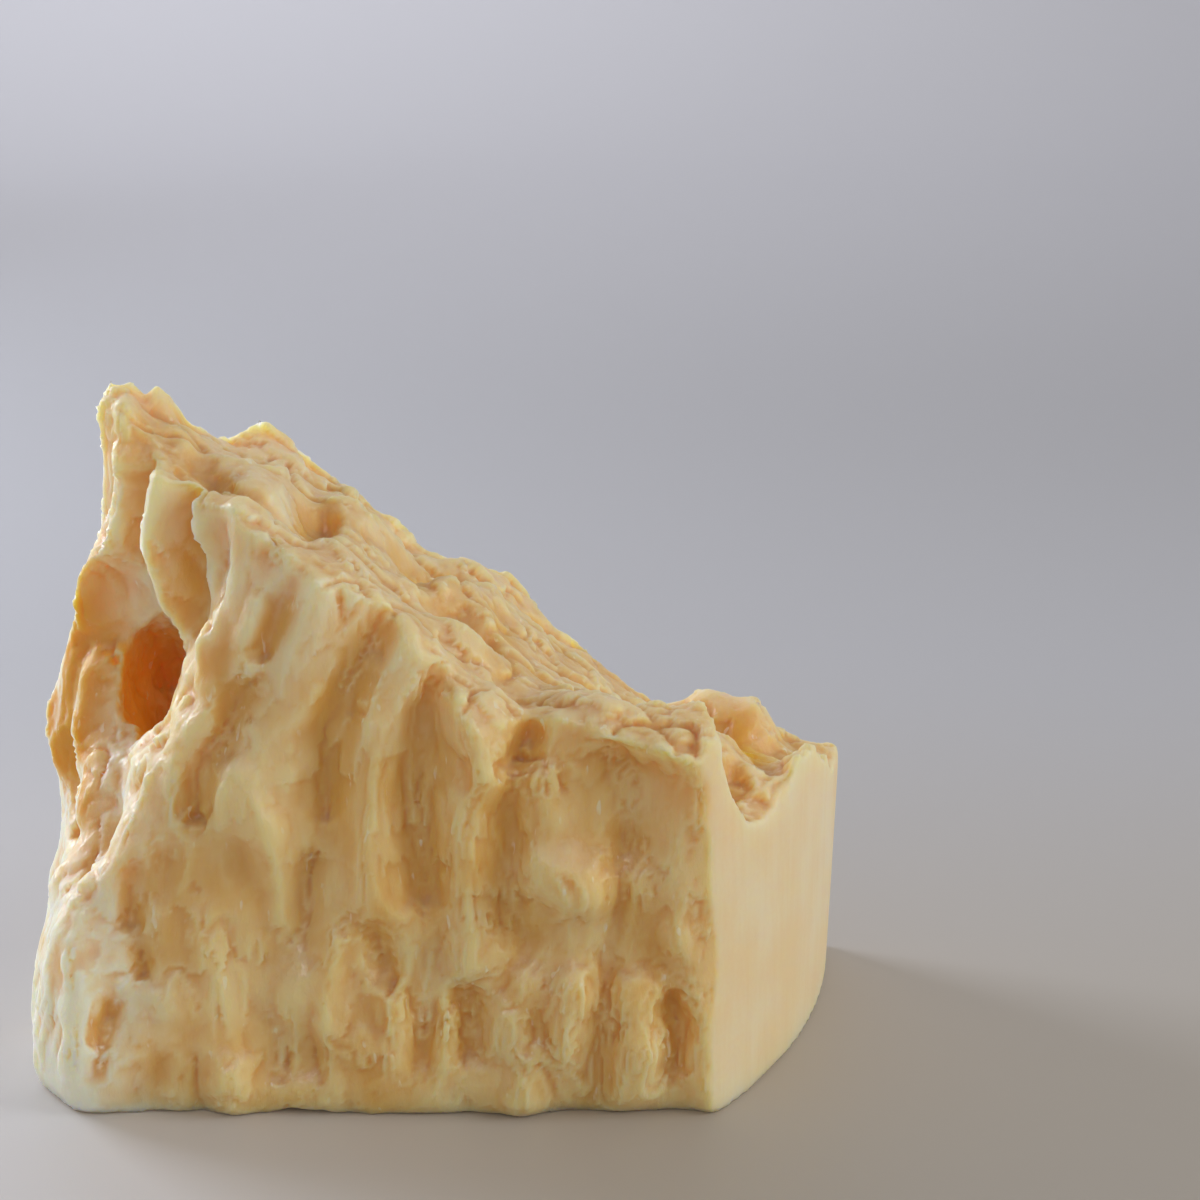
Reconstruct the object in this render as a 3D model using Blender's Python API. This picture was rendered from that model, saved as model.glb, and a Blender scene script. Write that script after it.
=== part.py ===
"""A chunk broken from a wheel of hard cheese.

One piece, one solid. The right side is the wheel's own smooth, drafted rim. The front, left, back and
top are breaks, where the curd tore along its grain. The chunk stands on the wheel's flat underside.
The left end is tall, with a thin fin behind a deep hollow, and the top falls away to the right, to a
horn and a chip at the rim. Sizes are in millimetres, and MM turns them into Blender's metres. While
it is shaped, x runs along the front foot, y goes back and z goes up.
"""

import math
from bisect import bisect_right

import bmesh
import bpy
from mathutils import Matrix, Vector, noise

MM = 0.001
NAME = "cheese_chunk"

# Driving dimensions
WHEEL_RADIUS = 110.0
WHEEL_CENTRE = (-71.7, 64.4)
RIM_LEAN = Vector((0.044, 0.099, 1.0))
BLOCK_FOOT, BLOCK_HEIGHT = -5.0, 114.0
BLOCK_LEFT, BLOCK_FRONT, BLOCK_BACK = -104.0, -12.0, 74.0
RIM_STEPS = 48
BACK_DEPTH = 62.0
CUTTER_DEPTH = 90.0
GRID_STEP = 1.25
VOXEL = 0.8
SMOOTHING = 2
TRIANGLES = 10000
FOOT_SNAP = 0.05

# The tall left end: the front ridge and the fin behind it, as (z, x, y) from the foot up
RIDGE = [(-8, -87, 6), (8, -86, 3), (20, -83.5, 2), (29, -81, 1), (37, -74, 3), (54, -65.5, 5),
         (66, -60, 8), (77, -57.5, 10), (90, -56, 11), (104, -53, 12), (124, -51, 13)]
FIN = [(-8, -88.6, 28), (8, -88.8, 32), (20, -87.8, 36), (29, -86, 39), (37, -85.7, 41), (49, -87.3, 41),
       (58, -83.6, 40), (72, -79.3, 38), (77, -76.5, 36), (90, -75.2, 35), (104, -74, 35), (124, -73.5, 35)]
FIN_THICK, FIN_NOSE = 9.0, 7.0
SHOULDER, SHOULDER_WIDTH = 3.2, 9.0
LEFT_DISH = [(-8, -1.5), (30, 1.0), (45, 5.0), (58, 6.5), (70, 5.5), (84, 4.0), (96, 2.0), (124, 1.0)]

# The deep hollow between the ridge and the fin: centre, half sizes, and how its top leans out
HOLLOW_CENTRE = (-68.0, 33.0, 57.5)
HOLLOW_HALF = (5.8, 13.5, 14.0)
HOLLOW_LEAN = (-0.05, -0.55)

# Height of the top along x: at the front edge, and at the back edge
TOP_FRONT = [(-110, 88), (-75, 88.5), (-62, 89), (-53, 90.5), (-39, 82.5), (-24.5, 72.5), (-12, 61.5),
             (-2, 62), (9, 63), (16, 62.5), (26, 57), (45, 52)]
TOP_BACK = [(-110, 106), (-76, 101.8), (-71.2, 103), (-68.8, 98.6), (-66, 96.8), (-62, 94.2), (-54, 91.2),
            (-47, 88.2), (-43.5, 84.4), (-38.5, 82.6), (-29, 73.2), (-17, 68.8), (-9, 60.4), (0, 53.4),
            (9, 45.4), (15, 42), (26, 41.6), (32, 40), (40, 37.6), (50, 35)]


def mix(low, high, share):
    return low + (high - low) * share


def ease(share):
    share = min(1.0, max(0.0, share))
    return share * share * (3 - 2 * share)


def along(table, at):
    """The row of the table at this value of its first column, eased between the rows beside it."""
    keys = [row[0] for row in table]
    high = min(len(table) - 1, max(1, bisect_right(keys, at)))
    low, top = table[high - 1], table[high]
    share = (at - low[0]) / (top[0] - low[0])
    return [mix(a, b, min(1.0, max(0.0, share))) for a, b in zip(low[1:], top[1:])]


def off_line(a, b, start, end):
    """How far a point is from the straight line between two others."""
    along_a, along_b = end[0] - start[0], end[1] - start[1]
    length = along_a * along_a + along_b * along_b
    share = ((a - start[0]) * along_a + (b - start[1]) * along_b) / length
    share = min(1.0, max(0.0, share))
    return math.hypot(a - start[0] - share * along_a, b - start[1] - share * along_b)


def bump(a, b, line, half_width, rise, flat=0.0):
    """A ridge along a bent line, or a groove where the rise is negative. Flat is its level share."""
    off = min(off_line(a, b, start, end) for start, end in zip(line, line[1:])) / half_width
    off = max(0.0, off - flat) / (1 - flat)
    if off >= 1:
        return 0.0
    return rise * (1 - off * off) ** 1.5


def crags(a, b, size, seed, octaves=4):
    """Rough ground from -1 to 1, with lumps of about this size."""
    return noise.fractal(Vector((a / size, b / size, seed)), 0.75, 2.1, octaves)


def plates(a, b, size, seed):
    """Flat chips of about this size, each at its own tilt, as curd breaks."""
    at = Vector((a / size, b / size, seed))
    _, points = noise.voronoi(at)
    tilt = noise.cell_vector(points[0] * 31.7) * 2 - Vector((1, 1, 1))
    return tilt.z * 0.6 + (at - points[0]).dot(tilt) * 0.9


# Ridges and grooves on the front break, in x and z: bent line, half width, rise towards the viewer
FRONT_MARKS = [
    # the crest's lumps and the folds below its corner
    (((-53, 85), (-53, 66)), 5, 1.6), (((-47.5, 87), (-50.5, 81)), 3.4, -2.4),
    (((-43.5, 82), (-47, 75), (-50, 70)), 3.2, -2.2), (((-41, 80), (-44, 72), (-46, 60)), 4, 1.3),
    (((-60, 66), (-56, 72)), 3.4, 2), (((-54.5, 69), (-54.8, 64)), 2.4, -2.4),
    (((-51.5, 64), (-55, 58), (-58.5, 50), (-59.5, 46)), 3.4, -3.6),
    # the long flutes
    (((-30.5, 76), (-34.5, 70), (-38.5, 61), (-40, 49)), 4.2, -2.8),
    (((-27.5, 72), (-32, 61), (-33.5, 50), (-34, 38), (-32.5, 32)), 4.8, 2),
    (((-17, 70.5), (-23, 67), (-25.5, 60), (-26.8, 49), (-25.5, 35)), 4, -2.8),
    (((-20.5, 64), (-17.5, 57), (-16.5, 51)), 3.8, 2.8),
    (((-20.5, 48), (-20.5, 36), (-19.5, 24)), 4, 2.4),
    (((-15, 49), (-13.8, 42), (-14, 34), (-11, 27)), 3.6, -2.6),
    (((-10, 60), (-12.2, 54.5)), 2.8, -4.5), (((-8.5, 53), (-8, 47)), 4, 1.8),
    (((-7, 38.5), (-3, 36.5)), 6.5, 3.4, 0.2),
    # the bulge at the rim's top corner, over the wide dish
    (((6, 65), (13, 63)), 11, 6.5), (((3.5, 54), (5, 45)), 7.5, -3),
    (((3.8, 43), (2.5, 30), (0.5, 21)), 3, -1.8), (((11.5, 47), (11.5, 27)), 2.8, 1.6),
    # the lower flakes, from the rim to the left foot
    (((10.5, 19), (12, 14), (11, 8)), 2.8, -3), (((5.5, 20), (6, 11), (5, 4)), 4.6, 2.4),
    (((-3.5, 21.5), (-5.2, 12)), 2.6, 2.4, 0.3), (((-13.5, 16), (-14, 12)), 3.8, 2.2, 0.2),
    (((-10.5, 22.5), (-10, 19)), 2.6, 1.6), (((1, 17), (-0.5, 4)), 2.8, -1.8),
    (((-10.5, 10), (-12, 2)), 3.6, 1.6), (((-20.5, 19.5), (-19.5, 10)), 2.6, -2),
    (((-25, 25), (-26, 9)), 3.4, -1.8), (((-22.5, 17), (-23, 8)), 2.4, 1.2),
    (((-32.6, 29), (-32, 23)), 3, -1.8), (((-31.5, 19), (-31, 7)), 3, 1.6),
    (((-36, 13), (-35, 4)), 3.6, 1.7), (((-38.3, 28), (-40, 18), (-41, 11), (-39.5, 5)), 3, 2.2),
    (((-43, 17), (-43, 8)), 2.4, -2), (((-42.5, 38), (-43.5, 32), (-45, 27)), 3.2, -2.6),
    (((-46.6, 41), (-46.6, 30)), 2.8, 1.6), (((-54, 50), (-50, 45)), 5.6, 3, 0.2),
    (((-53, 40), (-52.5, 36)), 2.2, -1.8), (((-49, 34), (-48.5, 22), (-48, 7)), 2.8, -1.8),
    (((-57.5, 30), (-56, 8)), 4.4, 1.7), (((-53.5, 9), (-54, 1)), 3, 1.4),
    (((-59.5, 9), (-60, 1)), 2.6, -1.7), (((-64.5, 38), (-65.5, 33)), 2.6, -2),
    (((-68.8, 36), (-70, 29)), 2.6, -2.8), (((-68.5, 25), (-67.5, 22)), 2.4, -2.4),
    (((-73.5, 16), (-75, 7)), 2.4, -2.4), (((-64, 18), (-71, 8)), 6, 1.8),
    (((-79, 27), (-77, 9)), 6, 2.6), (((-66, 7), (-69, 3)), 3.6, -1.6),
]

# The same on the left break: how far behind the front ridge, then z
LEFT_MARKS = [
    # the two ribs that meet below the peak, and the pocket between them
    (((27, 103), (24.5, 92), (30, 77)), 3, 2.4), (((18.5, 99), (24.5, 92)), 3.2, 2.4),
    (((22.5, 99), (22, 95)), 3.4, -2.8), (((25, 89), (26, 78)), 2.6, -1.8),
    # the hanging finger and the valley on its right
    (((14.5, 91), (17, 80), (19.5, 69)), 4.6, 5.4, 0.1), (((22, 90), (24.5, 78)), 3.2, -3),
    (((12, 91), (11.5, 80), (13, 70)), 3.6, -4), (((8, 95), (7.5, 85)), 4, 3),
    (((4.5, 87), (3.5, 78)), 3.2, -2.6), (((6, 74), (9, 70)), 4, -2),
    # the way into the hollow, and the tongue and lumps of the fin beside it
    (((23, 69), (24.5, 56)), 11, -5), (((34, 76), (35.5, 67)), 3.6, 2),
    (((38, 61), (31, 64), (27, 64)), 2.6, -2), (((31, 57), (28, 48), (22, 41)), 6, 3.6, 0.2),
    (((34, 44), (30, 36)), 5, -2.4), (((9.5, 53), (11.5, 50)), 3, 2.6),
    (((13.5, 41), (13, 37)), 3, -2.6),
    # folds that run down the lit flank
    (((2, 71), (8, 60)), 3.2, 2.2), (((3, 53), (9, 40), (12, 32)), 3, 1.8),
    (((6, 47), (12, 34)), 2.6, -1.6), (((5, 66), (6, 62)), 3, -2.2), (((16, 37), (18, 28)), 3.4, 1.8),
]

# Lumps and hollows on the top, in x and y
TOP_MARKS = [
    # the peak, the ear behind it and the slope down to the boulder
    (((-72, 37), (-67, 39)), 11, 1.6), (((-57, 57), (-52, 57)), 7, 4, 0.3),
    (((-61, 31), (-56, 28)), 3.6, -2.6), (((-45, 23), (-43, 32)), 4.6, -3.8),
    (((-38, 38), (-34, 42)), 5.2, 2.6, 0.2),
    # the pits and the ledge
    (((-29, 40), (-22, 45)), 4.6, -3.6), (((-24, 34), (-20, 39)), 3, 2),
    (((-22, 27), (-20, 24)), 5.6, -5.6), (((-15, 36), (-14, 38)), 2.8, -2.4),
    (((-21, 18), (-12, 18)), 3, 2), (((-19, 13), (-10, 12)), 3, -1.2),
    # the low saddle, the horn, and the rim beside the chip
    (((-5, 7), (1, 7)), 8, 0.8), (((6, 20), (10, 34)), 8, -3), (((18, 53), (22.5, 51)), 8, 6, 0.4),
    (((23, 14), (25, 24)), 7, -3.5), (((31, 26), (36, 38)), 5, 3.5),
]

# The chip out of the rim's top edge: centre, half sizes and lean
CHIP_CENTRE = (25.5, 12.5, 57.0)
CHIP_HALF = (10.5, 13.0, 14.0)
CHIP_LEAN = (0.0, 0.0)


def shoulder(distance):
    """How far a break falls back near the edge that it shares with the next, so that the edge is round."""
    near = min(1.3, max(0.0, 1 - distance / SHOULDER_WIDTH))
    return SHOULDER * near * near


def upright(z):
    """Height as the grain sees it: long flutes above, shorter flakes near the foot."""
    return 0.30 * z + 0.34 * min(z, 32)


def front_break(x, z):
    """The front, torn along the grain, which stands nearly upright: y at x and z."""
    lean = (0.035 + 0.00145 * max(0.0, 16 - x)) * z
    bent_x = x + 0.8 * crags(x, z, 6, 3.1, 2)
    bent_z = z + 1.2 * crags(x, z, 9, 8.7, 2)
    marks = sum(bump(bent_x, bent_z, *mark) for mark in FRONT_MARKS)
    flutes = 1.5 * crags(x + 0.06 * z, upright(z), 8.5, 0.4)
    flakes = 0.8 * plates(x + 0.12 * z, upright(z), 5.5, 2.2)
    foot = 1.6 * max(0.0, 1 - z / 4) ** 2
    round_left = shoulder(x - along(RIDGE, z)[0])
    return Vector((x, lean - marks - flutes - flakes + foot + round_left - 0.8, z))


def left_break(behind, z):
    """The left end, dished from the front ridge back to the fin."""
    ridge_x, ridge_y = along(RIDGE, z)
    fin_x, fin_y = along(FIN, z)
    line = Vector((fin_x - ridge_x, fin_y - ridge_y))
    span = line.length
    line.normalize()
    inward = Vector((line.y, -line.x))
    share = min(1.0, max(0.0, behind / span))
    dish = along(LEFT_DISH, z)[0] * math.sin(math.pi * share ** 0.85)
    marks = sum(bump(behind, z, *mark) for mark in LEFT_MARKS)
    grain = 1.2 * crags(behind, z * 0.45, 8, 5.5) + 0.8 * plates(behind, z * 0.5, 5.5, 6.1)
    foot = 1.6 * max(0.0, 1 - z / 6) ** 2
    depth = dish - marks - grain + shoulder(behind) + foot
    at = Vector((ridge_x, ridge_y)) + line * behind + inward * depth
    return Vector((at.x, at.y, z))


def back_break(x, z):
    """The back, a rough break that closes in on the fin at its left end: y at x and z."""
    fin_x, fin_y = along(FIN, z)
    reach = x - fin_x
    round_off = 1 - min(1.0, max(0.0, (reach + 2) / FIN_NOSE))
    nose = FIN_THICK * math.sqrt(1 - round_off * round_off)
    base = mix(fin_y + nose + 0.2 * reach, BACK_DEPTH - 0.05 * z, ease((reach - 2) / 40))
    grain = 2.4 * crags(x, z * 0.45, 16, 11.3) + 1.1 * plates(x, z * 0.5, 7, 12.9)
    return Vector((x, base + grain * ease((reach + 6) / 18), z))


def top_break(x, y):
    """The top, a craggy break that falls from the tall left end to the rim: z at x and y."""
    back = ease((y - 5) / 38)
    base = mix(along(TOP_FRONT, x)[0], along(TOP_BACK, x)[0], back)
    bent_x = x + 0.8 * crags(x, y, 7, 21.7, 2)
    marks = sum(bump(bent_x, y, *mark) for mark in TOP_MARKS)
    rough = 1.5 * crags(x, y, 8, 17.2) + 1.2 * plates(x, y, 5, 15.8)
    crest = 0.9 * shoulder(y - 0.1 * (base - 40))
    return Vector((x, y, base + marks + rough - crest))


def spread(low, high):
    """Evenly spaced values from low to high, a grid step apart."""
    count = round((high - low) / GRID_STEP)
    return [mix(low, high, i / count) for i in range(count + 1)]


def cutter(name, surface, firsts, seconds, outward):
    """A closed solid with the broken surface on one side, pushed outward to its flat far side."""
    bm = bmesh.new()
    rows = [[bm.verts.new(surface(a, b) * MM) for b in seconds] for a in firsts]
    for here, there in zip(rows, rows[1:]):
        for i in range(len(here) - 1):
            bm.faces.new((here[i], there[i], there[i + 1], here[i + 1]))
    pushed = bmesh.ops.extrude_face_region(bm, geom=list(bm.faces))
    moved = [item for item in pushed["geom"] if isinstance(item, bmesh.types.BMVert)]
    bmesh.ops.translate(bm, verts=moved, vec=Vector(outward) * CUTTER_DEPTH * MM)
    bmesh.ops.recalc_face_normals(bm, faces=list(bm.faces))
    return helper(name, bm)


def scoop(name, centre, half, lean, seed):
    """A rough egg that scoops a hollow. Its top leans by this much for each millimetre of height."""
    bm = bmesh.new()
    bmesh.ops.create_icosphere(bm, subdivisions=4, radius=1.0)
    for vert in bm.verts:
        way = vert.co.normalized()
        reach = 1 + 0.16 * noise.fractal(way * 2.4 + Vector((4, 1, seed)), 0.7, 2.1, 4)
        sized = Vector(size * part for size, part in zip(half, way * reach))
        sized += Vector((lean[0], lean[1], 0)) * sized.z
        vert.co = (Vector(centre) + sized) * MM
    return helper(name, bm)


def helper(name, bm):
    """An object that only cuts: it isn't part of the model."""
    mesh = bpy.data.meshes.new(name)
    bm.to_mesh(mesh)
    bm.free()
    made = bpy.data.objects.new(name, mesh)
    bpy.context.collection.objects.link(made)
    made.hide_render = True
    made.display_type = "WIRE"
    return made


def wheel_block():
    """The block that the breaks are cut from: straight sides, and the wheel's rim on the right."""
    centre = Vector(WHEEL_CENTRE).to_3d()
    low = math.asin((BLOCK_FRONT - centre.y) / WHEEL_RADIUS)
    high = math.asin((BLOCK_BACK - centre.y) / WHEEL_RADIUS)
    turns = [mix(low, high, i / RIM_STEPS) for i in range(RIM_STEPS + 1)]
    outline = [centre + Vector((math.cos(turn), math.sin(turn), 0)) * WHEEL_RADIUS for turn in turns]
    outline += [Vector((BLOCK_LEFT, BLOCK_BACK, 0)), Vector((BLOCK_LEFT, BLOCK_FRONT, 0))]
    bm = bmesh.new()
    rings = []
    for height in (BLOCK_FOOT, BLOCK_HEIGHT):
        rings.append([bm.verts.new((point + RIM_LEAN * height) * MM) for point in outline])
    foot, head = (bm.faces.new(ring) for ring in rings)
    bmesh.ops.bridge_loops(bm, edges=list(foot.edges) + list(head.edges))
    bmesh.ops.recalc_face_normals(bm, faces=list(bm.faces))
    mesh = bpy.data.meshes.new(NAME)
    bm.to_mesh(mesh)
    bm.free()
    made = bpy.data.objects.new(NAME, mesh)
    bpy.context.collection.objects.link(made)
    return made


def cut(block, tool):
    """Takes the tool away from the block for good, and removes the tool."""
    modifier = block.modifiers.new("cut", "BOOLEAN")
    modifier.operation = "DIFFERENCE"
    modifier.solver = "EXACT"
    modifier.object = tool
    settle(block)
    bpy.data.objects.remove(tool)


def settle(block):
    """Applies the block's modifiers."""
    graph = bpy.context.evaluated_depsgraph_get()
    made = bpy.data.meshes.new_from_object(block.evaluated_get(graph))
    block.modifiers.clear()
    block.data = made


def wear(block):
    """Softens the fresh edges, as fat does, and slices the foot flat."""
    skin = block.modifiers.new("skin", "REMESH")
    skin.mode = "VOXEL"
    skin.voxel_size = VOXEL * MM
    soft = block.modifiers.new("soft", "SMOOTH")
    soft.factor = 0.5
    soft.iterations = SMOOTHING
    settle(block)
    bm = bmesh.new()
    bm.from_mesh(block.data)
    whole = list(bm.verts) + list(bm.edges) + list(bm.faces)
    down = (0, 0, -1)
    sliced = bmesh.ops.bisect_plane(bm, geom=whole, plane_co=(0, 0, 0), plane_no=down, clear_outer=True)
    rim = [item for item in sliced["geom_cut"] if isinstance(item, bmesh.types.BMEdge)]
    bmesh.ops.triangle_fill(bm, edges=rim, use_beauty=True)
    bm.to_mesh(block.data)
    bm.free()


def thin_out(block):
    """Brings the mesh down to its number of triangles, most of them where the break is rough."""
    block.data.calc_loop_triangles()
    modifier = block.modifiers.new("thin", "DECIMATE")
    modifier.ratio = TRIANGLES / len(block.data.loop_triangles)
    modifier.use_collapse_triangulate = True
    settle(block)
    for vert in block.data.vertices:
        if vert.co.z < FOOT_SNAP * MM:
            vert.co.z = 0.0


def stand(block):
    """Puts the origin at the middle of the foot, by the model's own box."""
    points = [vert.co for vert in block.data.vertices]
    middle = [(min(p[i] for p in points) + max(p[i] for p in points)) / 2 for i in (0, 1)]
    block.data.transform(Matrix.Translation((-middle[0], -middle[1], 0)))


def cheese_material():
    material = bpy.data.materials.new("cheese")
    material.use_nodes = True
    shader = material.node_tree.nodes["Principled BSDF"]
    shader.inputs["Base Color"].default_value = (0.80, 0.62, 0.34, 1)
    shader.inputs["Roughness"].default_value = 0.45
    shader.inputs["Metallic"].default_value = 0.0
    return material


def main():
    for old in list(bpy.data.objects):
        bpy.data.objects.remove(old)
    block = wheel_block()
    heights = spread(BLOCK_FOOT - 3, BLOCK_HEIGHT + 4)
    widths = spread(BLOCK_LEFT - 4, 52)
    cut(block, cutter("front_cutter", front_break, widths, heights, (0, -1, 0)))
    cut(block, cutter("back_cutter", back_break, widths, heights, (0, 1, 0)))
    cut(block, cutter("left_cutter", left_break, spread(-26, 64), heights, (-0.8, -0.6, 0)))
    cut(block, cutter("top_cutter", top_break, widths, spread(-18, 88), (0, 0, 1)))
    cut(block, scoop("chip_cutter", CHIP_CENTRE, CHIP_HALF, CHIP_LEAN, 7.0))
    cut(block, scoop("hollow_cutter", HOLLOW_CENTRE, HOLLOW_HALF, HOLLOW_LEAN, 3.0))
    wear(block)
    thin_out(block)
    stand(block)
    block.data.materials.clear()
    block.data.materials.append(cheese_material())


main()
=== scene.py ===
import math
import bmesh
import bpy
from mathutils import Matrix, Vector, noise
from mathutils.bvhtree import BVHTree


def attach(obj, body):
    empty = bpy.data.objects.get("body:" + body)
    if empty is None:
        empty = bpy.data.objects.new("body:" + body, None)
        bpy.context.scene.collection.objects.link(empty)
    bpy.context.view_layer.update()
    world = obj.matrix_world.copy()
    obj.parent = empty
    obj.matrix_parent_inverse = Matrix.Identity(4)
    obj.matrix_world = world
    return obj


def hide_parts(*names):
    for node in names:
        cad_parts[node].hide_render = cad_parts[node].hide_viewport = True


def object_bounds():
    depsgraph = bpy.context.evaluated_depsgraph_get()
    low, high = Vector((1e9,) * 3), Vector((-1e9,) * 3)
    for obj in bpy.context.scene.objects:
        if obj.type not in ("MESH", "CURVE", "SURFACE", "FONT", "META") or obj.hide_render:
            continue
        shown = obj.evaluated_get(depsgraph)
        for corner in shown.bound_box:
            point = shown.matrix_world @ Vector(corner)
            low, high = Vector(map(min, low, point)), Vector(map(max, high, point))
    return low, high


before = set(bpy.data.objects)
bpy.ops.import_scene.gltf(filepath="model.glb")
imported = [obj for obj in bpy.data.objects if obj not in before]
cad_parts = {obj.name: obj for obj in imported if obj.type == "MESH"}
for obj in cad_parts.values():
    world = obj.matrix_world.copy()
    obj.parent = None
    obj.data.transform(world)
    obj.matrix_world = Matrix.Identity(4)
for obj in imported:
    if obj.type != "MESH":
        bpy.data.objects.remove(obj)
cad_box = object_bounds()


# The chunk
# A piece torn from a wheel of pale hard cheese: pressed curd, with fat that makes it a little
# clear. A blunt blade split it off, so every side but the wheel's rim and underside is a break.
MM = 0.001
SKIN_GRAIN = 0.74
RIM_CENTRE = (-46.8, 34.55)
RIM_LEAN = (0.044, 0.099)
RIM_RADIUS = 110.0
RIM_FILM = 0.6
FACES_DOWN = -0.95
SHARP_TURN = 0.4
CHIP = Vector((46, -4, 50))
HORN = Vector((44, 8, 51))
SHOULDER = Vector((-41.8, 13.5))

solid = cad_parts["cheese_chunk"]
chunk = bpy.data.objects.new("chunk", solid.data.copy())
bpy.context.scene.collection.objects.link(chunk)


def off_rim(at):
    """How far inside the wheel's rim a point lies, in millimetres."""
    x = at.x - RIM_CENTRE[0] - RIM_LEAN[0] * at.z
    y = at.y - RIM_CENTRE[1] - RIM_LEAN[1] * at.z
    return RIM_RADIUS - math.hypot(x, y)


def is_plain(face):
    """Whether a face lies on the rim or on the underside, which aren't torn."""
    return face.normal.z < FACES_DOWN or off_rim(face.calc_center_median() / MM) < RIM_FILM


# the edges of the rim and of the underside stay sharp when the rest is rounded
bm = bmesh.new()
bm.from_mesh(chunk.data)
bmesh.ops.remove_doubles(bm, verts=list(bm.verts), dist=1e-6)
crease = bm.edges.layers.float.new("crease_edge")
for edge in bm.edges:
    if edge.calc_face_angle(0.0) > SHARP_TURN and any(is_plain(face) for face in edge.link_faces):
        edge[crease] = 1.0
bm.to_mesh(chunk.data)
bm.free()


def smoothing(piece, factor, iterations):
    soft = piece.modifiers.new("soft", "SMOOTH")
    soft.factor = factor
    soft.iterations = iterations


def modified(piece):
    """The piece's mesh with its modifiers applied."""
    graph = bpy.context.evaluated_depsgraph_get()
    return bpy.data.meshes.new_from_object(piece.evaluated_get(graph))


def settle(piece):
    """Applies a piece's modifiers."""
    made = modified(piece)
    piece.modifiers.clear()
    piece.data = made


rounded = chunk.modifiers.new("rounded", "SUBSURF")
rounded.levels = 1
rounded.render_levels = 1
skin = chunk.modifiers.new("skin", "REMESH")
skin.mode = "VOXEL"
skin.voxel_size = SKIN_GRAIN * MM
smoothing(chunk, 0.5, 3)
settle(chunk)


def ease(low, high, value):
    """Eases from 0 at low to 1 at high."""
    share = min(1.0, max(0.0, (value - low) / (high - low)))
    return share * share * (3 - 2 * share)


def crags(a, b, c, octaves):
    """Rough ground from about -1 to 1."""
    return noise.fractal(Vector((a, b, c)), 0.75, 2.1, octaves)


def scales(a, b, c, crown):
    """Scales of curd, each at its own height, crowned, that stand out most at their lower ends."""
    at = Vector((a, b, c))
    _, near = noise.voronoi(at)
    own = noise.cell_vector(near[0] * 31.7) * 2 - Vector((1, 1, 1))
    off = at - near[0]
    tilt = own.z * 0.45 + off.x * own.x * 0.5 - off.y * 0.65
    return tilt + crown * (0.25 - off.length_squared)


def gash(a, b, c, width):
    """1 along the winding lines where curd has parted, falling to 0 at this width."""
    return ease(width, 0.0, abs(noise.noise(Vector((a, b, c)))))


# widths and heights in millimetres: the first four on upright faces, the others where it lies flat
FOLD = (7.0, 15)
LONG_SCALE = (5.4, 11.5)
THIN_FLAKE = (2.6, 4.8)
SPLIT = (7.0, 14.0)
CRAG = (7.0, 7.0, 8)
BROAD_SCALE = (6.5, 5.5)
LOOSE_FLAKE = (2.6, 2.2)
CREVICE = (9.0, 7.0)


def tear(at, out):
    """How far the torn curd stands out of the chunk's plain form at a point, in millimetres."""
    bend = 1.6 * noise.noise(at * 0.09 + Vector((3, 8, 1)))
    fray = 0.8 * noise.noise(at * 0.3 + Vector((5, 1, 7)))
    crisp = ease(-0.1, 0.35, noise.noise(at * 0.08 + Vector((9, 2, 5))))
    flaky = ease(0.02, 0.38, noise.noise(at * 0.13 + Vector((2, 4, 9))))
    flaky = max(flaky, ease(22, 13, (at - CHIP).length))

    side = at.x * abs(out.y) + at.y * abs(out.x) + bend + fray
    fall = at.z + 1.5 * noise.noise(at * 0.28 + Vector((1, 6, 2)))
    long_scales = scales(side / LONG_SCALE[0], fall / LONG_SCALE[1], 0.0, 0.7)
    thin_flakes = scales(side / THIN_FLAKE[0] + 5, fall / THIN_FLAKE[1], 4.0, 0.1)
    upright = 0.40 * crags(side / FOLD[0], fall / FOLD[1], 0.3, 2)
    upright += (0.34 + 0.26 * crisp) * long_scales
    upright += (0.07 + 0.30 * flaky) * thin_flakes
    upright -= 0.5 * flaky * gash(side / SPLIT[0], fall / SPLIT[1], 6.5, 0.07)

    row = at.y / BROAD_SCALE[1] + bend * 0.2
    broad_scales = scales(at.x / BROAD_SCALE[0] + fray, row, 1.0, 0.3)
    loose_flakes = scales(at.x / LOOSE_FLAKE[0] + fray, at.y / LOOSE_FLAKE[1], 3.0, 0.0)
    lying = 0.7 * crags(at.x / CRAG[0], at.y / CRAG[1], at.z / CRAG[2] + 7, 3)
    lying += (0.7 + 0.5 * crisp) * broad_scales
    lying += (0.16 + 0.34 * flaky) * loose_flakes
    lying -= 1.0 * gash(at.x / CREVICE[0], at.y / CREVICE[1], 2.5, 0.09)

    up = ease(0.35, 0.75, out.z)
    return upright * (1 - up) + lying * up


def shoulder(at, out):
    """The square shoulder beside the peak, in millimetres above the plain form."""
    off = math.hypot(at.x - SHOULDER.x, (at.y - SHOULDER.y) * 0.6)
    return 3.2 * ease(3.6, 1.0, off) * ease(0.0, 0.4, out.z) * ease(85, 92, at.z)


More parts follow.
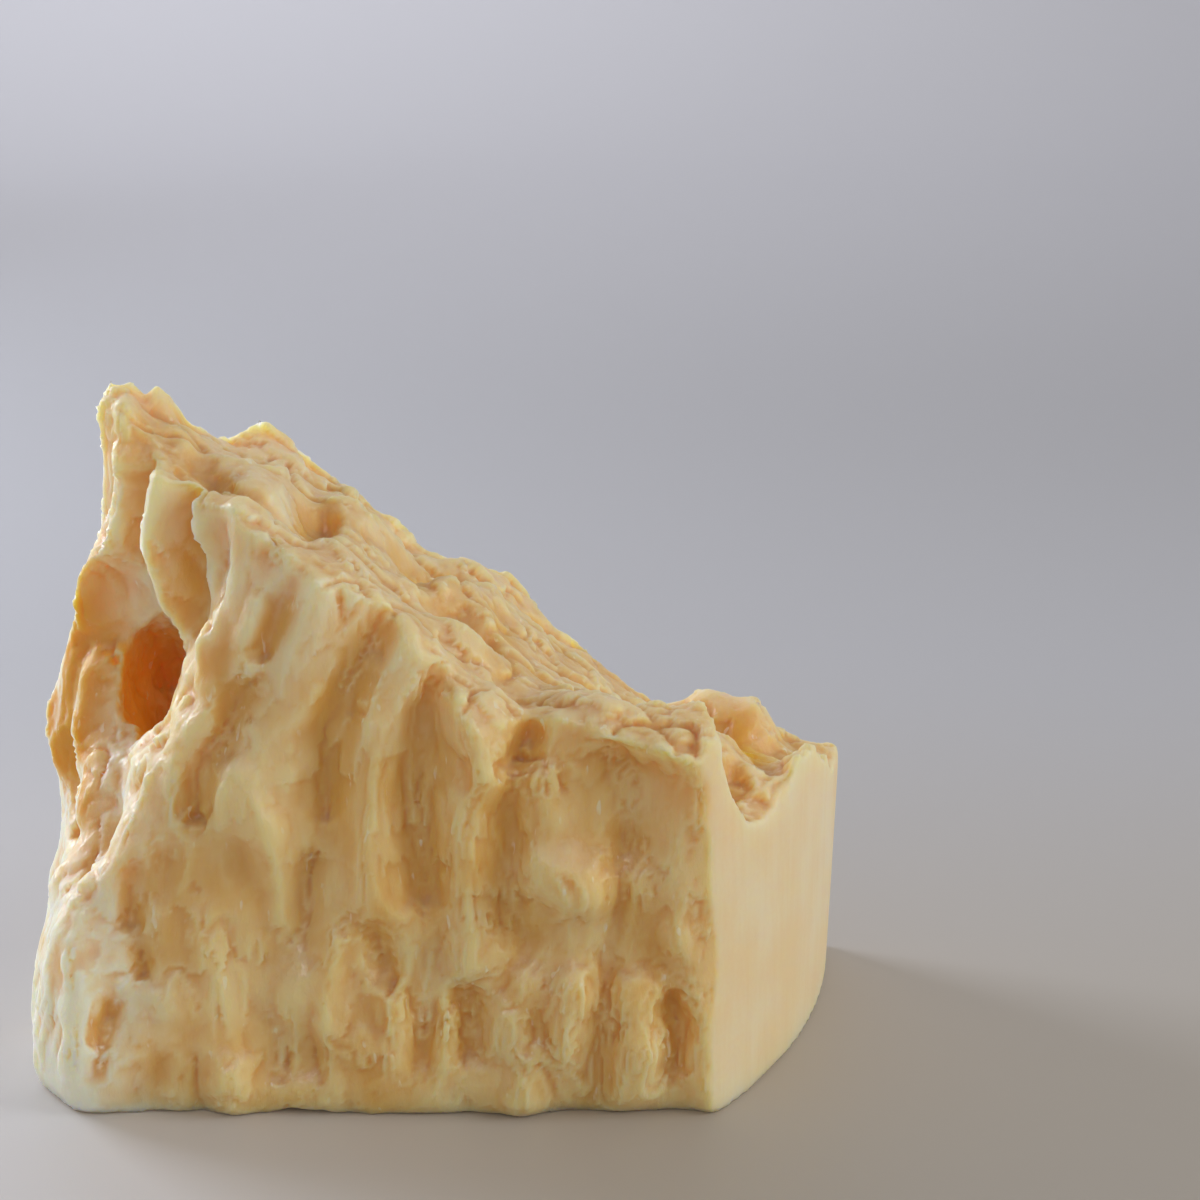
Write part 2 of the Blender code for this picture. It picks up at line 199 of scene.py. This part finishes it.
# the skin never passes the solid's own box, and it lies flat where the chunk stands
BOX_GAP = 0.00002
FLAT_FOOT = 0.00003
lows = [low + BOX_GAP for low in cad_box[0]]
highs = [high - BOX_GAP for high in cad_box[1]]
torn_parts = []
normals = [vert.normal.copy() for vert in chunk.data.vertices]
for vert, out in zip(chunk.data.vertices, normals):
    at = vert.co / MM
    smooth_rim = (1 - ease(1.3, 2.4, off_rim(at))) * ease(0.5, 0.8, out.x)
    foot = ease(0.6, 0.9, -out.z) * (1 - ease(0.5, 1.5, at.z))
    rough = (1 - smooth_rim) * (1 - foot)
    vert.co += out * (tear(at, out) - 0.15) * rough * MM
    vert.co.z += shoulder(at, out) * MM
    torn_parts.append(rough)
smoothing(chunk, 0.4, 1)
settle(chunk)
for vert in chunk.data.vertices:
    vert.co = [min(high, max(low, part)) for low, part, high in zip(lows, vert.co, highs)]
    if vert.co.z < FLAT_FOOT:
        vert.co.z = 0.0
for face in chunk.data.polygons:
    face.use_smooth = True


def keep(piece, name, values):
    """Stores one value a vertex, for the material."""
    stored = piece.data.attributes.new(name, "FLOAT", "POINT")
    stored.data.foreach_set("value", values)


def stand_out(piece, iterations):
    """How far each vertex stands out of the piece, smoothed this many times, in millimetres."""
    smoothing(piece, 0.5, iterations)
    plain = modified(piece)
    piece.modifiers.clear()
    pairs = zip(piece.data.vertices, plain.vertices)
    found = [(vert.co - low.co).dot(low.normal) / MM for vert, low in pairs]
    bpy.data.meshes.remove(plain)
    return found


RAY_GAP = 0.4
TURNS = (0.4, 1.45, 2.5, 3.55, 4.6, 5.6)
FAN = [Vector((math.cos(turn), math.sin(turn), 0.0)) for turn in TURNS]


def shut_in(piece, lean, far):
    """How much of the piece stands round each vertex: 0 in the open, 1 deep inside a hollow."""
    faces = [face.vertices for face in piece.data.polygons]
    tree = BVHTree.FromPolygons([vert.co for vert in piece.data.vertices], faces)
    ways = [way * lean + Vector((0, 0, math.sqrt(1 - lean * lean))) for way in FAN]
    shares = []
    for vert in piece.data.vertices:
        turned = vert.normal.to_track_quat("Z", "Y")
        start = vert.co + vert.normal * RAY_GAP * MM
        reaches = [tree.ray_cast(start, turned @ way, far * MM)[3] for way in ways]
        near = [1 - reach / (far * MM) for reach in reaches if reach is not None]
        shares.append(sum(near) / len(FAN))
    return shares


def golden(at, out):
    """How far light has come through at a point: in the left end's thin fin, and in the horn."""
    fin = ease(24, 44, at.z) * ease(88, 66, at.z) * ease(24, 10, at.y) * ease(-46, -56, at.x)
    fin = fin * ease(-0.97, -0.75, out.x) * ease(0.6, 0.1, out.y)
    return max(fin, ease(15, 8, (at - HORN).length))


keep(chunk, "torn", torn_parts)
keep(chunk, "golden", [golden(vert.co / MM, vert.normal) for vert in chunk.data.vertices])
keep(chunk, "fine_relief", stand_out(chunk, 6))
keep(chunk, "broad_relief", stand_out(chunk, 60))
keep(chunk, "deep", shut_in(chunk, 0.8, 22.0))
keep(chunk, "lying", [ease(0.3, 0.7, vert.normal.z) for vert in chunk.data.vertices])


class Link:
    """A shader value in a material, so that shader maths reads as Python."""

    def __init__(self, tree, socket):
        self.tree = tree
        self.socket = socket

    def node(self, kind, settings, output=0, **values):
        """Adds a node with these settings, then socket values or links, and gives its output."""
        made = self.tree.nodes.new(kind)
        for key, value in settings.items():
            setattr(made, key, value)
        for key, value in values.items():
            numbered = key[0] == "i" and key[1:].isdigit()
            socket = made.inputs[int(key[1:]) if numbered else key.replace("_", " ")]
            if isinstance(value, Link):
                self.tree.links.new(value.socket, socket)
            else:
                socket.default_value = value
        return Link(self.tree, made.outputs[output])

    def maths(self, operation, first, second):
        return self.node("ShaderNodeMath", {"operation": operation}, i0=first, i1=second)

    def __add__(self, other):
        return self.maths("ADD", self, other)

    def __radd__(self, other):
        return self.maths("ADD", other, self)

    def __sub__(self, other):
        return self.maths("SUBTRACT", self, other)

    def __rsub__(self, other):
        return self.maths("SUBTRACT", other, self)

    def __mul__(self, other):
        return self.maths("MULTIPLY", self, other)

    def __rmul__(self, other):
        return self.maths("MULTIPLY", other, self)

    def span(self, low, high):
        """Eases from 0 at low to 1 at high."""
        settings = {"interpolation_type": "SMOOTHSTEP"}
        return self.node("ShaderNodeMapRange", settings, Value=self, From_Min=low, From_Max=high)

    def tint(self, first, second):
        """A colour: the first where this is 0, the second where it is 1."""
        settings = {"data_type": "RGBA"}
        return self.node("ShaderNodeMix", settings, 2, Factor=self, i6=first, i7=second)

    def part(self, axis):
        """The place along x, y or z, which are 0, 1 and 2, in metres."""
        return self.node("ShaderNodeSeparateXYZ", {}, axis, Vector=self)

    def in_mm(self, stretch):
        """The place in millimetres, times this stretch along x, y and z."""
        times = [1000 * part for part in stretch]
        return self.node("ShaderNodeVectorMath", {"operation": "MULTIPLY"}, i0=self, i1=times)

    def spots(self, scale, detail, roughness=0.55, stretch=(1, 1, 1)):
        """Soft spots over the piece's own millimetres."""
        kind = {"Scale": scale, "Detail": detail, "Roughness": roughness}
        return self.node("ShaderNodeTexNoise", {}, Vector=self.in_mm(stretch), **kind)

    def cells(self, scale, stretch):
        """Uneven cells, each at its own height, over the piece's own millimetres."""
        bend = self.node("ShaderNodeTexNoise", {}, 1, Vector=self, Scale=420.0, Detail=0.0)
        settings = {"operation": "MULTIPLY_ADD"}
        bent = self.node("ShaderNodeVectorMath", settings, i0=bend, i1=(0.0016,) * 3, i2=self)
        colour = self.node("ShaderNodeTexVoronoi", {}, 1, Vector=bent.in_mm(stretch), Scale=scale)
        return self.node("ShaderNodeSeparateColor", {}, 0, Color=colour)

    def off(self, centre):
        """How far the place lies from a point, in metres."""
        return self.node("ShaderNodeVectorMath", {"operation": "DISTANCE"}, 1, i0=self, i1=centre)

    def kept(self, name):
        """A value that the piece keeps for each vertex."""
        return self.node("ShaderNodeAttribute", {"attribute_name": name}, 2)


def new_material(name):
    """A material, its shader, and the piece's own Object coordinates in it."""
    material = bpy.data.materials.new(name)
    material.use_nodes = True
    tree = material.node_tree
    shader = tree.nodes["Principled BSDF"]
    places = tree.nodes.new("ShaderNodeTexCoord")
    return material, shader, Link(tree, places.outputs["Object"])


def feed(link, shader, name):
    link.tree.links.new(link.socket, shader.inputs[name])


SUNK_CURD = (0.84, 0.50, 0.13, 1)
RAISED_CURD = (0.94, 0.73, 0.37, 1)
SUNK_TOP = (0.76, 0.46, 0.17, 1)
RAISED_TOP = (0.90, 0.70, 0.41, 1)
SHEEN_AND_PALE_CURD = (0.96, 0.90, 0.72, 1)
LIT_THROUGH = (0.79, 0.40, 0.045, 1)
LIT_HOLLOW = (0.95, 0.46, 0.07, 1)
NO_GLOW = (0, 0, 0, 1)
HOLLOW_GLOW = (0.095, 0.027, 0.001, 1)
GLINT_WHITE = (0.97, 0.91, 0.76, 1)
RIM_BLOTCH = (0.91, 0.69, 0.38, 1)
RIM_CURD = (0.95, 0.79, 0.53, 1)
HOLLOW_CENTRE = (-0.048, 0.004, 0.052)

cheese, shader, place = new_material("cheese")
torn = place.kept("torn")
lying = place.kept("lying")
deep = place.kept("deep")
across = place.part(0)
height = place.part(2)

# curd is paler where it stands out and deeper yellow where it sinks: painted shade, darker still
# in the top's pits
blotches = place.spots(0.07, 1)
streaks = place.spots(0.25, 2, 0.6, (1, 1, 0.35))
speckle = place.spots(1.3, 1, 0.6)
raised = place.kept("fine_relief") * 0.5 + place.kept("broad_relief") * 0.34
# deep, the enclosure of hollows and crevices, darkens the curd there as painted shade
relief = raised - deep * (lying * 0.5 + 0.6)
pale = (relief + (blotches - 0.5) * 1.3 + (streaks - 0.5) * 0.5 + 0.56).span(0.0, 1.0)
front_curd = pale.tint(SUNK_CURD, RAISED_CURD)
top_curd = pale.tint(SUNK_TOP, RAISED_TOP)
curd = lying.tint(front_curd, top_curd)

# a painted sheen of the cool left light whitens the left foot, and the front's upper part is paler
left = (1 - across.span(-0.056, -0.034)) * (1 - height.span(0.048, 0.066))
upper = height.span(0.045, 0.075) * (1 - height.span(0.088, 0.098))
upper = upper * (1 - across.span(-0.020, 0.020))
sheen_and_pale = left * 1.5 + upper * (1 - lying) * 0.55
curd = (sheen_and_pale * pale).tint(curd, SHEEN_AND_PALE_CURD)

# where light has passed through the thin fin and the horn it is golden, and orange in the hollow
thin = place.kept("golden") * (0.75 + blotches * 0.5)
curd = thin.tint(curd, LIT_THROUGH)
hollow = (1 - place.off(HOLLOW_CENTRE).span(0.005, 0.018)) * deep.span(0.10, 0.45)
curd = hollow.tint(curd, LIT_HOLLOW)
# the hollow also glows by emission: a painted glow of the light let through the fin
glow = hollow * (1 - across.span(-0.050, -0.037)) * (0.4 + streaks * 1.2)
feed(glow.tint(NO_GLOW, HOLLOW_GLOW), shader, "Emission Color")
shader.inputs["Emission Strength"].default_value = 1.0
cheese.cycles.emission_sampling = "NONE"

# small painted glints lie in the oily patches, and the rim is plain with faint upright smears
oily = place.spots(0.4, 2, 0.65, (1, 1, 0.5)).span(0.45, 0.62)
glints = place.spots(0.7, 1, 0.5, (1, 1, 0.3)).span(0.68, 0.74) * oily
curd = (glints * 0.5).tint(curd, GLINT_WHITE)
smears = place.spots(0.5, 2, 0.6, (1, 1, 0.1))
plain = (blotches * 0.7 + smears * 0.3 + speckle * 0.15).span(0.35, 0.85)
wall = plain.tint(RIM_BLOTCH, RIM_CURD)
feed(torn.tint(wall, curd), shader, "Base Color")
feed(0.52 - oily * torn * 0.22 + speckle * 0.08, shader, "Roughness")

# the breaks have a grain of fine chips, and the rim has shallow scratches along its smears
chips = place.cells(0.55, (1, 1, 0.5)) * torn * 0.35
fine = place.spots(0.8, 3, 0.6, (1, 1, 0.5)) * torn
scratches = smears * (1 - torn) * 0.5
grain = chips + fine + scratches
bumps = place.node("ShaderNodeBump", {}, Strength=0.35, Distance=0.0006, Height=grain)
feed(bumps, shader, "Normal")

shader.inputs["Subsurface Weight"].default_value = 1.0
shader.inputs["Subsurface Radius"].default_value = (1.0, 0.80, 0.34)
shader.inputs["Subsurface Scale"].default_value = 0.006
shader.inputs["IOR"].default_value = 1.45
shader.inputs["Specular IOR Level"].default_value = 0.5
chunk.data.materials.clear()
chunk.data.materials.append(cheese)
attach(chunk, "root")
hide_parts("cheese_chunk")


# The table and the backdrop
# One pale sheet of paper, flat under the chunk and swept up behind it. A painted pool of light
# makes it lighter at the near left, painted shade makes it darker and warmer at the near right,
# and it is cooler behind.
SHEET_REACH = 1.6
SWEEP_START = 0.9
SWEEP_RADIUS = 0.6
SWEEP_STEPS = 24
PAINTED_LIGHT_PAPER = (0.66, 0.64, 0.64, 1)
PAINTED_SHADE_PAPER = (0.49, 0.45, 0.40, 1)
COOL_PAPER = (0.52, 0.52, 0.545, 1)

bm = bmesh.new()
bmesh.ops.create_grid(bm, x_segments=1, y_segments=1, size=SHEET_REACH)
back_corners = [vert for vert in bm.verts if vert.co.y > 0]
back = [edge for edge in bm.edges if all(vert in back_corners for vert in edge.verts)]
for vert in back_corners:
    vert.co.y = SWEEP_START
turned = bmesh.ops.spin(
    bm, geom=back, cent=(0, SWEEP_START, SWEEP_RADIUS), axis=(1, 0, 0), dvec=(0, 0, 0),
    angle=math.radians(90), steps=SWEEP_STEPS, use_merge=False, use_duplicate=False,
)
top = [item for item in turned["geom_last"] if isinstance(item, bmesh.types.BMEdge)]
risen = bmesh.ops.extrude_edge_only(bm, edges=top)["geom"]
risen = [item for item in risen if isinstance(item, bmesh.types.BMVert)]
bmesh.ops.translate(bm, verts=risen, vec=(0, 0, SHEET_REACH))
sheet = bpy.data.objects.new("table_sheet", bpy.data.meshes.new("table_sheet"))
bm.to_mesh(sheet.data)
bm.free()
for face in sheet.data.polygons:
    face.use_smooth = True
bpy.context.scene.collection.objects.link(sheet)

paper, shader, place = new_material("table_paper")
# painted light at the near left, painted warm shade at the near right
near = place.part(0).span(-0.06, 0.04).tint(PAINTED_LIGHT_PAPER, PAINTED_SHADE_PAPER)
shade = place.part(1).span(-0.05, 0.20).tint(near, COOL_PAPER)
feed(shade, shader, "Base Color")
shader.inputs["Roughness"].default_value = 0.5
sheet.data.materials.append(paper)


# The camera and the lights
# A short telephoto view from a little above, square to the fluted front. A cool soft light low on
# the left, behind, rakes the breaks, and one on the right opens the smooth side. One brightens the
# backdrop, and a small one in front adds gloss alone.
CAMERA_PLACE = (0.0249, -0.4118, 0.1973)
CAMERA_PITCH = 73
MIDDLE = (0, 0, 0.045)
BACKDROP = (-0.15, 1.50, 0.50)
WHITE = (1.0, 1.0, 1.0)
COOL = (1.0, 1.06, 1.2)
SLIGHTLY_COOL = (1.0, 1.02, 1.12)
WARM_FILL = (1.0, 0.97, 0.93, 1)

camera = bpy.data.objects.new("camera", bpy.data.cameras.new("camera"))
camera.data.lens = 85
camera.data.sensor_width = 36
camera.location = CAMERA_PLACE
camera.rotation_euler = (math.radians(CAMERA_PITCH), 0, 0)
bpy.context.scene.collection.objects.link(camera)
bpy.context.scene.camera = camera


def soft_light(name, place, aim, power, width, spread, colour):
    """A square light at a place, turned towards its aim, of this power in watts."""
    lamp = bpy.data.lights.new(name, "AREA")
    lamp.energy = power
    lamp.size = width
    lamp.spread = math.radians(spread)
    lamp.color = colour
    holder = bpy.data.objects.new(name, lamp)
    holder.location = place
    holder.rotation_euler = (Vector(aim) - Vector(place)).to_track_quat("-Z", "Y").to_euler()
    bpy.context.scene.collection.objects.link(holder)
    return holder


soft_light("left_light", (-0.60, 0.40, 0.30), MIDDLE, 2.15, 0.35, 140, COOL)
soft_light("side_light", (0.75, -0.20, 0.40), MIDDLE, 1.40, 0.40, 140, WHITE)
soft_light("backdrop_light", (-0.50, 0.60, 1.10), BACKDROP, 6.3, 0.40, 120, SLIGHTLY_COOL)
gloss = soft_light("gloss_light", (-0.30, -0.60, 0.70), MIDDLE, 0.9, 0.12, 120, WHITE)
gloss.visible_diffuse = False

world = bpy.data.worlds.new("studio")
world.use_nodes = True
fill = world.node_tree.nodes["Background"]
fill.inputs["Color"].default_value = WARM_FILL
fill.inputs["Strength"].default_value = 0.44
bpy.context.scene.world = world
bpy.context.scene.view_settings.view_transform = "Standard"
